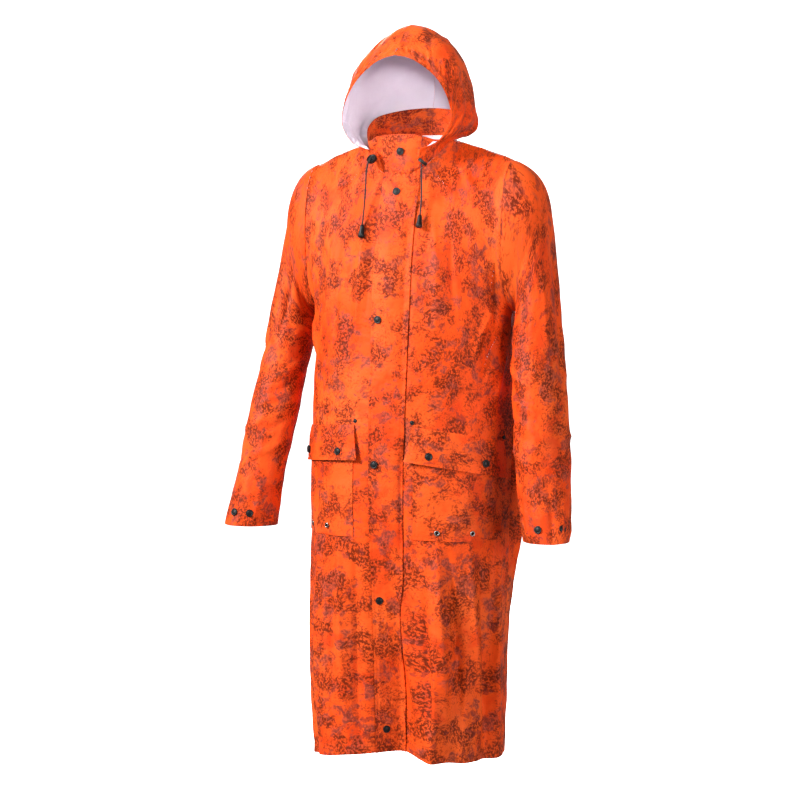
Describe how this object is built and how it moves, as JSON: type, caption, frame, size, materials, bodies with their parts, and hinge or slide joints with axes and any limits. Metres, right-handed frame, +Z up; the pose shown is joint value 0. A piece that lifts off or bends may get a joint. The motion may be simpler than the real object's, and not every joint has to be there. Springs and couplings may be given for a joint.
{
  "type": "hooded rain coat",
  "caption": "Long hooded rain coat of speckled orange coated cloth, worn shape and empty, with storm flap, snap pockets and hood cords.",
  "frame": {"origin": "where the coat is held up: between the wearer's shoulders at the base of the neck, on the level of the shoulder points", "axes": "+Z up the wearer, front faces -Y, the wearer's left is +X"},
  "size_m": [0.7332, 0.3137, 1.4656],
  "materials": {
    "coated_cloth": null,
    "snap": "black lacquered snap caps and rivets",
    "eyelet": "bright rolled eyelets",
    "stopper": "moulded black acetal",
    "cord": "round braided black polyester cord",
    "cord_end": "moulded black bell ends"
  },
  "bodies": {
    "root": {"front_left": "coated_cloth", "front_right": "coated_cloth", "back": "coated_cloth", "sleeve_left": "coated_cloth", "sleeve_right": "coated_cloth", "collar": "coated_cloth", "hood_left": "coated_cloth", "hood_right": "coated_cloth", "storm_flap": "coated_cloth", "pocket_left": "coated_cloth", "pocket_right": "coated_cloth", "pocket_flap_left": "coated_cloth", "pocket_flap_right": "coated_cloth", "snap_front_1": "snap", "snap_front_2": "snap", "snap_front_3": "snap", "snap_front_4": "snap", "snap_front_5": "snap", "snap_front_6": "snap", "snap_pocket_left_1": "snap", "snap_pocket_left_2": "snap", "snap_pocket_right_1": "snap", "snap_pocket_right_2": "snap", "snap_cuff_left_1": "snap", "snap_cuff_left_2": "snap", "snap_cuff_right_1": "snap", "snap_cuff_right_2": "snap", "rivet_left_1": "snap", "rivet_left_2": "snap", "rivet_right_1": "snap", "rivet_right_2": "snap", "eyelet_left_1": "eyelet", "eyelet_left_2": "eyelet", "eyelet_right_1": "eyelet", "eyelet_right_2": "eyelet", "stopper_left": "stopper", "stopper_right": "stopper", "drawcord_left": "cord", "drawcord_right": "cord", "cord_end_left": "cord_end", "cord_end_right": "cord_end"}
  },
  "joints": []
}
